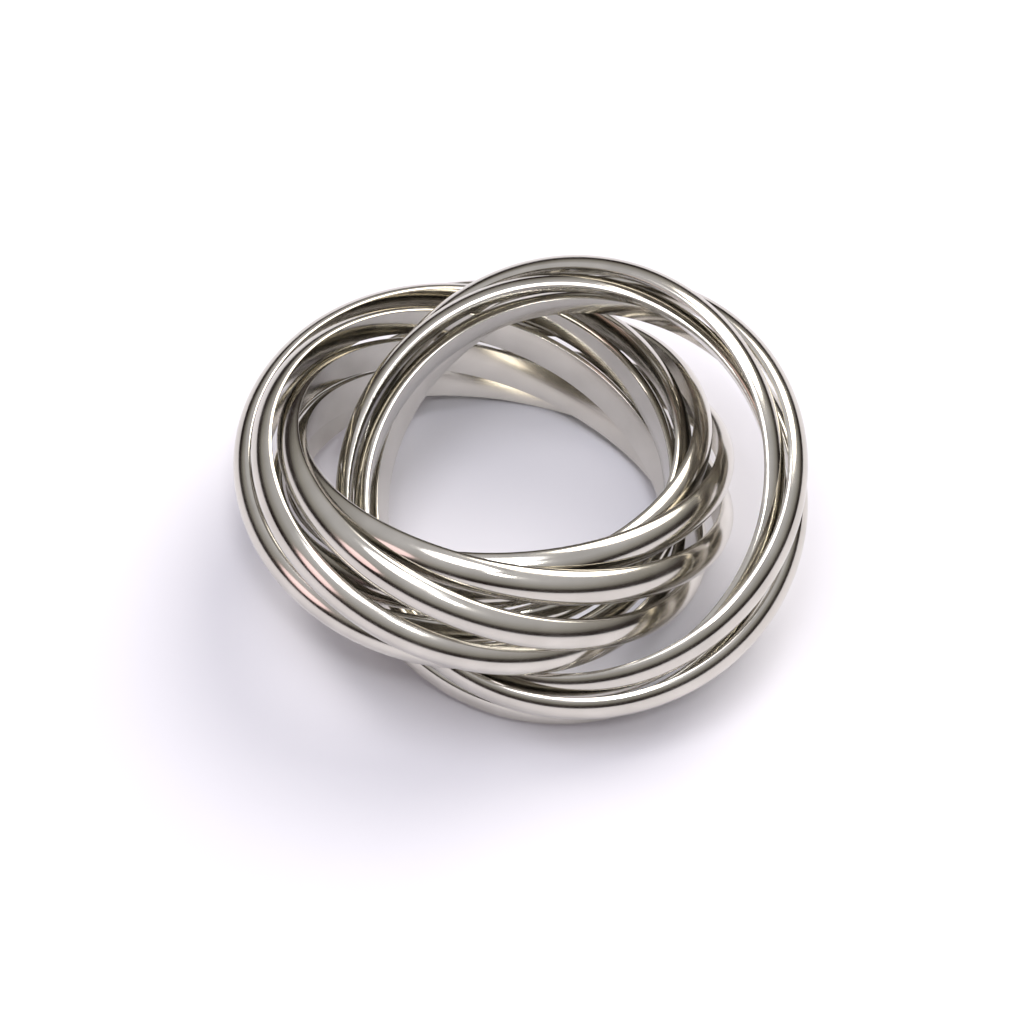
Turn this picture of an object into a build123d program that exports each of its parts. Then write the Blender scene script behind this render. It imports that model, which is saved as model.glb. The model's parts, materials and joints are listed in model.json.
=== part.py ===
"""Interlocked rolling ring: equal steel bands, each linked once through every other band,
splayed open as they lie on a table. Millimetres, +Z up, table top at Z = 0 under the middle."""
from build123d import *
import math
import os

# One band. Every band is the same: a flat inside wall and a domed outside.
outerRadius = 11.0
bandWidth = 1.84
bandThickness = 0.78
edgeThickness = 0.20          # what the dome leaves at the two rims
cornerRound = 0.04            # polish on the two inside corners
bandClearance = 0.03          # air allowed for beside a band

# The bands lie in two sheaves, one to each side. A sheaf's middle is given in shares of
# the outer radius. It leans out of the flat and its upper side faces round from +X. Its
# bands stand evenly round it from the first angle: each is shifted out from the middle
# by a share of the radius and tipped sideways, so that all pass through one another.
# Angles are in degrees.
rightSheaf = dict(across=0.225, along=-0.340, height=0.555, lean=22.5, faces=-116.5,
                  shift=0.065, tip=10.0, first=-56.0,
                  bands=["right_loop_front_band", "right_loop_outer_band",
                         "right_loop_rear_band", "right_loop_middle_band"])
leftSheaf = dict(across=-0.155, along=-0.225, height=0.535, lean=14.0, faces=68.0,
                 shift=0.120, tip=15.0, first=-20.0,
                 bands=["left_loop_upper_band", "shoulder_bottom_band", "shoulder_middle_band",
                        "shoulder_top_band", "left_loop_outer_band", "left_loop_second_band",
                        "left_loop_lower_band"])

# Those places leave room for a band of this width and thickness, as shares of the outer
# radius. A stouter band, or a smaller ring, needs the stack splayed wider to match.
nestWidth = 0.170
nestThickness = 0.074
spread = max((bandWidth + bandClearance) / (nestWidth * outerRadius),
             (bandThickness + bandClearance) / (nestThickness * outerRadius))
leanGrowth = 1.5              # as the stack widens, the sheaves lean apart faster than that
tipGrowth = 1.15              # and the bands within a sheaf tip a little faster

# The D section, measured from the band's axis outward.
innerRadius = outerRadius - bandThickness
rimRadius = innerRadius + edgeThickness
halfWidth = bandWidth / 2
domeHeight = outerRadius - rimRadius
domeRadius = (halfWidth ** 2 + domeHeight ** 2) / (2 * domeHeight)


def slope(angle, growth):
    """Rise over run of an angle in degrees: it opens by growth, and closes in step with the stack."""
    return math.tan(math.radians(angle)) * max(spread, spread ** growth)


def laySheaf(sheaf):
    """Centre and axis of each band of a sheaf, before the stack is set down."""
    scale = spread * outerRadius
    faces = math.radians(sheaf["faces"])
    steepness = slope(sheaf["lean"], leanGrowth)
    axis = Vector(steepness * math.cos(faces), steepness * math.sin(faces), 1).normalized()
    right = (Vector(1, 0, 0) - axis * axis.X).normalized()
    back = axis.cross(right)
    middle = Vector(sheaf["across"], sheaf["along"], sheaf["height"]) * scale
    lies = {}
    for turn, name in enumerate(sheaf["bands"]):
        angle = math.radians(sheaf["first"] + 360 * turn / len(sheaf["bands"]))
        outward = right * math.cos(angle) + back * math.sin(angle)
        sideways = back * math.cos(angle) - right * math.sin(angle)
        tipped = (axis + sideways * slope(sheaf["tip"], tipGrowth)).normalized()
        lies[name] = (middle + outward * sheaf["shift"] * scale, tipped)
    return lies


def reach(axis, direction):
    """How far a band's surface stands out from its centre along a direction."""
    alongAxis = abs(axis.dot(direction))
    outward = math.sqrt(max(0.0, 1 - alongAxis ** 2))
    rim = rimRadius * outward + halfWidth * alongAxis
    domeReachesIt = domeRadius * alongAxis <= halfWidth
    dome = (outerRadius - domeRadius) * outward + domeRadius
    return dome if domeReachesIt else rim


def makeBand(place):
    """One closed band: a D section turned once round the band's own axis."""
    section = Plane(origin=place.origin, x_dir=place.x_dir, z_dir=-place.y_dir)
    with BuildPart() as band:
        with BuildSketch(section) as profile:
            with BuildLine():
                Polyline((rimRadius, -halfWidth), (innerRadius, -halfWidth),
                         (innerRadius, halfWidth), (rimRadius, halfWidth))
                ThreePointArc((rimRadius, halfWidth), (outerRadius, 0), (rimRadius, -halfWidth))
            make_face()
            insideCorners = profile.vertices().sort_by_distance(place.origin)[0:2]
            fillet(insideCorners, radius=cornerRound)
        revolve(axis=Axis(place.origin, place.z_dir), revolution_arc=360)
    return band


bandLies = laySheaf(rightSheaf) | laySheaf(leftSheaf)

# The stack is set down with its lowest band on the table and its box over the origin.
lows = []
highs = []
for direction in (Vector(1, 0, 0), Vector(0, 1, 0), Vector(0, 0, 1)):
    lows.append(min(centre.dot(direction) - reach(axis, direction) for centre, axis in bandLies.values()))
    highs.append(max(centre.dot(direction) + reach(axis, direction) for centre, axis in bandLies.values()))
setDown = Vector((lows[0] + highs[0]) / 2, (lows[1] + highs[1]) / 2, lows[2])

os.makedirs("parts", exist_ok=True)
for name, (centre, axis) in bandLies.items():
    band = makeBand(Plane(origin=centre - setDown, z_dir=axis))
    band.part.label = name
    export_step(band.part, f"parts/{name}.step")
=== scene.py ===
import bpy
import json
import math
import numpy as np
from mathutils import Matrix, Vector

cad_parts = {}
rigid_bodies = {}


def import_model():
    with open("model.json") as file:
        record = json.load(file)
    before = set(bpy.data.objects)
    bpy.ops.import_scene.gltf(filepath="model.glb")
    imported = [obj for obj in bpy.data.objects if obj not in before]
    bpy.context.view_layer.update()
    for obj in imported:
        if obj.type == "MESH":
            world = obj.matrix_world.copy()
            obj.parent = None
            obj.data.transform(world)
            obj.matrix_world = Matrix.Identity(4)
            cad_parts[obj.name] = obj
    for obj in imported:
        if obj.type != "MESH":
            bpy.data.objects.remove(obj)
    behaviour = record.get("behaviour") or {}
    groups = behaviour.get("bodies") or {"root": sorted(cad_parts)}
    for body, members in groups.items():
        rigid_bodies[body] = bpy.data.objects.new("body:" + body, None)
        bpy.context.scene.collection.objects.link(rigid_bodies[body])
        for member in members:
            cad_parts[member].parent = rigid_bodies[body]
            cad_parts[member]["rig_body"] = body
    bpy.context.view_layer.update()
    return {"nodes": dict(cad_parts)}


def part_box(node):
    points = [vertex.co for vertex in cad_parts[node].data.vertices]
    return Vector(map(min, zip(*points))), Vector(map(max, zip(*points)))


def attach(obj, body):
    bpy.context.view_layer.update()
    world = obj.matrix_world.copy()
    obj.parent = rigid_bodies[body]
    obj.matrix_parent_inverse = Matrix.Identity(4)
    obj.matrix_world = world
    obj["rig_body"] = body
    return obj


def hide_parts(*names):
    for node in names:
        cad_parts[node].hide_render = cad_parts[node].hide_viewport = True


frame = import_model()
millimetre = 0.001

# One steel band, finer than the CAD's facets so that it mirrors smoothly.
band = {
    "outerRadius": 11.0 * millimetre,
    "width": 1.84 * millimetre,
    "thickness": 0.78 * millimetre,
    "edge": 0.20 * millimetre,         # left at each rim by the dome
    "cornerRound": 0.04 * millimetre,
    "domePoints": 24,
    "cornerPoints": 4,
    "facets": 480,                     # round the band
}

view = {
    "aim": (-0.41 * millimetre, 1.83 * millimetre, 0.0),
    "distance": 176 * millimetre,
    "elevation": 55.6,                 # degrees above the table
    "lens": 122.7,
}

table = {
    "side": 1.2,                       # metres
    "colours": ("#E6E5EE", "#ECEBF2"),
}

studio = {
    "skyStrength": 0.64,
    "lights": {                        # place and size in metres, watts, colour
        "windowBehind": ((0.20, 0.22, 0.36), 0.34, 1.4, "#FFF9F0"),
        "ceiling": ((-0.06, -0.04, 0.50), 0.26, 0.85, "#FBFAFF"),
        "deskLamp": ((0.03, -0.16, 0.34), 0.05, 0.20, "#FFFFFF"),     # white lines along the crests
        "rosyWall": ((-0.30, -0.16, 0.16), 0.16, 0.10, "#F4D2D8"),
    },
    "heights": ((0.00, "#2E2625"), (0.22, "#463D3B"), (0.42, "#C2BEB8"), (0.80, "#FBFAFF")),
}


def linearColour(hexText):
    parts = [int(hexText[i:i + 2], 16) / 255 for i in (1, 3, 5)]
    return [c / 12.92 if c <= 0.04045 else ((c + 0.055) / 1.055) ** 2.4 for c in parts] + [1.0]


def addNode(tree, kind, settings=None, links=None):
    node = tree.nodes.new(kind)
    for key, value in (settings or {}).items():
        if isinstance(key, str) and hasattr(node, key):
            setattr(node, key, value)
        else:
            node.inputs[key].default_value = value
    for key, source in (links or {}).items():
        tree.links.new(source, node.inputs[key])
    return node


steelFinish = {
    "colours": ("#C9C5BC", "#D6D2C9"),
    "colourStops": (0.35, 0.65),
    "roughness": (0.11, 0.20),
    "linesPerMetre": 11000,            # across the width, coarser than the real ones so that they show
    "wanderPerMetre": 60,              # how slowly a line changes along the band
    "lineDepth": 0.01 * millimetre,
    "lineStrength": 0.10,
    "handlingPerMetre": 420,
}


# Stainless steel, tumbled and buffed: a near mirror that still carries the fine
# turning lines of the lathe, and clouds a little where it has been handled.
def makeBuffedStainless():
    steel = bpy.data.materials.new("buffedStainlessSteel")
    steel.use_nodes = True
    tree = steel.node_tree
    tree.nodes.clear()
    place = addNode(tree, "ShaderNodeAttribute", {"attribute_name": "bandPlace"})
    wander = steelFinish["wanderPerMetre"]
    alongTheLathe = addNode(tree, "ShaderNodeMapping",
                            {"Scale": (wander, wander, steelFinish["linesPerMetre"])},
                            {"Vector": place.outputs["Vector"]})
    turningLines = addNode(tree, "ShaderNodeTexNoise", {"Scale": 1.0, "Detail": 3.0},
                           {"Vector": alongTheLathe.outputs["Vector"]})
    handling = addNode(tree, "ShaderNodeTexNoise",
                       {"Scale": steelFinish["handlingPerMetre"], "Detail": 4.0},
                       {"Vector": place.outputs["Vector"]})
    smoothest, roughest = steelFinish["roughness"]
    gloss = addNode(tree, "ShaderNodeMapRange",
                    {"From Min": 0.3, "From Max": 0.7, "To Min": smoothest, "To Max": roughest},
                    {"Value": handling.outputs["Fac"]})
    tint = addNode(tree, "ShaderNodeValToRGB", links={"Fac": handling.outputs["Fac"]})
    for stop, position, colour in zip(tint.color_ramp.elements, steelFinish["colourStops"],
                                      steelFinish["colours"]):
        stop.position = position
        stop.color = linearColour(colour)
    lines = addNode(tree, "ShaderNodeBump",
                    {"Strength": steelFinish["lineStrength"], "Distance": steelFinish["lineDepth"]},
                    {"Height": turningLines.outputs["Fac"]})
    surface = addNode(tree, "ShaderNodeBsdfPrincipled", {"Metallic": 1.0},
                      {"Base Color": tint.outputs["Color"], "Roughness": gloss.outputs["Result"],
                       "Normal": lines.outputs["Normal"]})
    addNode(tree, "ShaderNodeOutputMaterial", links={"Surface": surface.outputs["BSDF"]})
    return steel


# White card or laminate, matt, with the faintest cool mottle.
def makeMattCard():
    card = bpy.data.materials.new("mattWhiteCard")
    card.use_nodes = True
    tree = card.node_tree
    tree.nodes.clear()
    where = addNode(tree, "ShaderNodeTexCoord")
    mottle = addNode(tree, "ShaderNodeTexNoise", {"Scale": 60.0, "Detail": 2.0},
                     {"Vector": where.outputs["Object"]})
    tone = addNode(tree, "ShaderNodeValToRGB", links={"Fac": mottle.outputs["Fac"]})
    for stop, colour in zip(tone.color_ramp.elements, table["colours"]):
        stop.color = linearColour(colour)
    surface = addNode(tree, "ShaderNodeBsdfPrincipled", {"Roughness": 0.7},
                      {"Base Color": tone.outputs["Color"]})
    addNode(tree, "ShaderNodeOutputMaterial", links={"Surface": surface.outputs["BSDF"]})
    return card


# The D outline: a flat inside wall with eased corners, and a domed outside.
def outlineOfBand():
    half = band["width"] / 2
    inner = band["outerRadius"] - band["thickness"]
    rim = inner + band["edge"]
    rise = band["outerRadius"] - rim
    domeRadius = (half ** 2 + rise ** 2) / (2 * rise)
    domeAngle = math.asin(half / domeRadius)
    points = []
    for step in range(band["domePoints"] + 1):
        angle = domeAngle * (2 * step / band["domePoints"] - 1)
        points.append((band["outerRadius"] - domeRadius + domeRadius * math.cos(angle),
                       domeRadius * math.sin(angle)))
    ease = band["cornerRound"]
    for side, start in ((1, 90), (-1, 180)):
        for step in range(band["cornerPoints"] + 1):
            angle = math.radians(start + 90 * step / band["cornerPoints"])
            points.append((inner + ease + ease * math.cos(angle),
                           side * (half - ease) + ease * math.sin(angle)))
    return points


def makeOutlineCurve():
    curve = bpy.data.curves.new("bandOutline", "CURVE")
    curve.dimensions = "3D"
    inner = band["outerRadius"] - band["thickness"]
    points = outlineOfBand()
    spline = curve.splines.new("POLY")
    spline.points.add(len(points) - 1)
    for point, (out, up) in zip(spline.points, points):
        point.co = (out - inner, up, 0, 1)
    spline.use_cyclic_u = True
    outline = bpy.data.objects.new("bandOutline", curve)
    bpy.context.scene.collection.objects.link(outline)
    return outline


# Geometry Nodes: the outline swept once round a circle.
def makeSweepTree():
    tree = bpy.data.node_groups.new("sweepBand", "GeometryNodeTree")
    socket = tree.interface.new_socket
    socket("Outline", in_out="INPUT", socket_type="NodeSocketObject")
    socket("Inner Radius", in_out="INPUT", socket_type="NodeSocketFloat")
    socket("Facets", in_out="INPUT", socket_type="NodeSocketInt")
    socket("Steel", in_out="INPUT", socket_type="NodeSocketMaterial")
    socket("Geometry", in_out="OUTPUT", socket_type="NodeSocketGeometry")
    given = addNode(tree, "NodeGroupInput")
    outline = addNode(tree, "GeometryNodeObjectInfo", links={"Object": given.outputs["Outline"]})
    circle = addNode(tree, "GeometryNodeCurvePrimitiveCircle",
                     links={"Resolution": given.outputs["Facets"], "Radius": given.outputs["Inner Radius"]})
    level = addNode(tree, "GeometryNodeSetCurveNormal", {"mode": "Z_UP"},
                    {"Curve": circle.outputs["Curve"]})
    sweep = addNode(tree, "GeometryNodeCurveToMesh",
                    links={"Curve": level.outputs["Curve"],
                           "Profile Curve": outline.outputs["Geometry"]})
    smooth = addNode(tree, "GeometryNodeSetShadeSmooth", links={"Geometry": sweep.outputs["Mesh"]})
    real = addNode(tree, "GeometryNodeRealizeInstances",
                   links={"Geometry": smooth.outputs["Geometry"]})
    finished = addNode(tree, "GeometryNodeSetMaterial",
                       links={"Geometry": real.outputs["Geometry"], "Material": given.outputs["Steel"]})
    addNode(tree, "NodeGroupOutput", links={"Geometry": finished.outputs["Geometry"]})
    return tree


def sweepOneBand(steel):
    outline = makeOutlineCurve()
    tree = makeSweepTree()
    carrier = bpy.data.objects.new("bandCarrier", bpy.data.meshes.new("bandCarrier"))
    bpy.context.scene.collection.objects.link(carrier)
    modifier = carrier.modifiers.new("sweep", "NODES")
    modifier.node_group = tree
    values = {
        "Outline": outline,
        "Inner Radius": band["outerRadius"] - band["thickness"],
        "Facets": band["facets"],
        "Steel": steel,
    }
    for item in tree.interface.items_tree:
        if item.in_out == "INPUT":
            modifier[item.identifier] = values[item.name]
    carrier.update_tag()
    bpy.context.view_layer.update()
    swept = bpy.data.meshes.new_from_object(carrier.evaluated_get(bpy.context.evaluated_depsgraph_get()))
    swept.name = "sweptBand"
    carrier.modifiers.clear()
    bpy.data.objects.remove(carrier)
    bpy.data.objects.remove(outline)
    places = np.empty(len(swept.vertices) * 3, np.float32)
    swept.vertices.foreach_get("co", places)
    kept = swept.attributes.new("bandPlace", "FLOAT_VECTOR", "POINT")
    kept.data.foreach_set("vector", places)      # where each point is on the band, for its finish
    return swept


# Where a band lies: the middle of its CAD node and the direction that it is thin in.
def lieOfBand(node):
    corners = {tuple(round(c, 7) for c in vertex.co) for vertex in frame["nodes"][node].data.vertices}
    points = np.array(sorted(corners))
    lowest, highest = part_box(node)
    middle = points.mean(axis=0)
    spread = (points - middle).T @ (points - middle)
    axis = Vector(np.linalg.eigh(spread)[1][:, 0])
    if axis.z < 0:
        axis.negate()
    turn = axis.to_track_quat("Z", "Y").to_matrix().to_4x4()
    return Matrix.Translation((lowest + highest) / 2) @ turn


def makeBands(steel):
    swept = sweepOneBand(steel)
    for node, cadBand in frame["nodes"].items():
        mesh = swept.copy()
        mesh.transform(lieOfBand(node))
        piece = bpy.data.objects.new(node + "_polished", mesh)
        bpy.context.scene.collection.objects.link(piece)
        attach(piece, cadBand["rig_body"])
        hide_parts(node)
    bpy.data.meshes.remove(swept)
    print("bands:", len(frame["nodes"]))


def makeTable(card):
    half = table["side"] / 2
    mesh = bpy.data.meshes.new("table")
    mesh.from_pydata([(-half, -half, 0), (half, -half, 0), (half, half, 0), (-half, half, 0)],
                     [], [(0, 1, 2, 3)])
    top = bpy.data.objects.new("table", mesh)
    mesh.materials.append(card)
    bpy.context.scene.collection.objects.link(top)
    print("table made")


# A bright ceiling over dark walls: the walls give polished steel its thin dark lines.
def makeRoom():
    world = bpy.data.worlds.new("paleRoom")
    bpy.context.scene.world = world
    world.use_nodes = True
    tree = world.node_tree
    tree.nodes.clear()
    where = addNode(tree, "ShaderNodeTexCoord")
    axes = addNode(tree, "ShaderNodeSeparateXYZ", links={"Vector": where.outputs["Generated"]})
    walls = addNode(tree, "ShaderNodeValToRGB", links={"Fac": axes.outputs["Z"]})
    stops = walls.color_ramp.elements
    while len(stops) < len(studio["heights"]):
        stops.new(1.0)
    for stop, (height, colour) in zip(stops, studio["heights"]):
        stop.position = height
        stop.color = linearColour(colour)
    glow = addNode(tree, "ShaderNodeBackground", {"Strength": studio["skyStrength"]},
                   {"Color": walls.outputs["Color"]})
    addNode(tree, "ShaderNodeOutputWorld", links={"Surface": glow.outputs["Background"]})


def addSoftLight(name, position, size, power, colour):
    light = bpy.data.lights.new(name, "AREA")
    light.shape = "DISK"
    light.size = size
    light.energy = power
    light.color = linearColour(colour)[:3]
    lamp = bpy.data.objects.new(name, light)
    lamp.location = position
    lamp.rotation_euler = (-Vector(position)).to_track_quat("-Z", "Y").to_euler()
    bpy.context.scene.collection.objects.link(lamp)


def makeCamera():
    lens = bpy.data.cameras.new("camera")
    lens.lens = view["lens"]
    lens.clip_start = 0.005
    tilt = math.radians(view["elevation"])
    eye = bpy.data.objects.new("camera", lens)
    toEye = Vector((0, -math.cos(tilt), math.sin(tilt)))
    eye.location = Vector(view["aim"]) + toEye * view["distance"]
    eye.rotation_euler = toEye.to_track_quat("Z", "Y").to_euler()
    bpy.context.scene.collection.objects.link(eye)
    bpy.context.scene.camera = eye


makeBands(makeBuffedStainless())
makeTable(makeMattCard())
makeRoom()
for name, (position, size, power, colour) in studio["lights"].items():
    addSoftLight(name, position, size, power, colour)
makeCamera()
bpy.context.scene.view_settings.view_transform = "Standard"
print("lights and camera made")
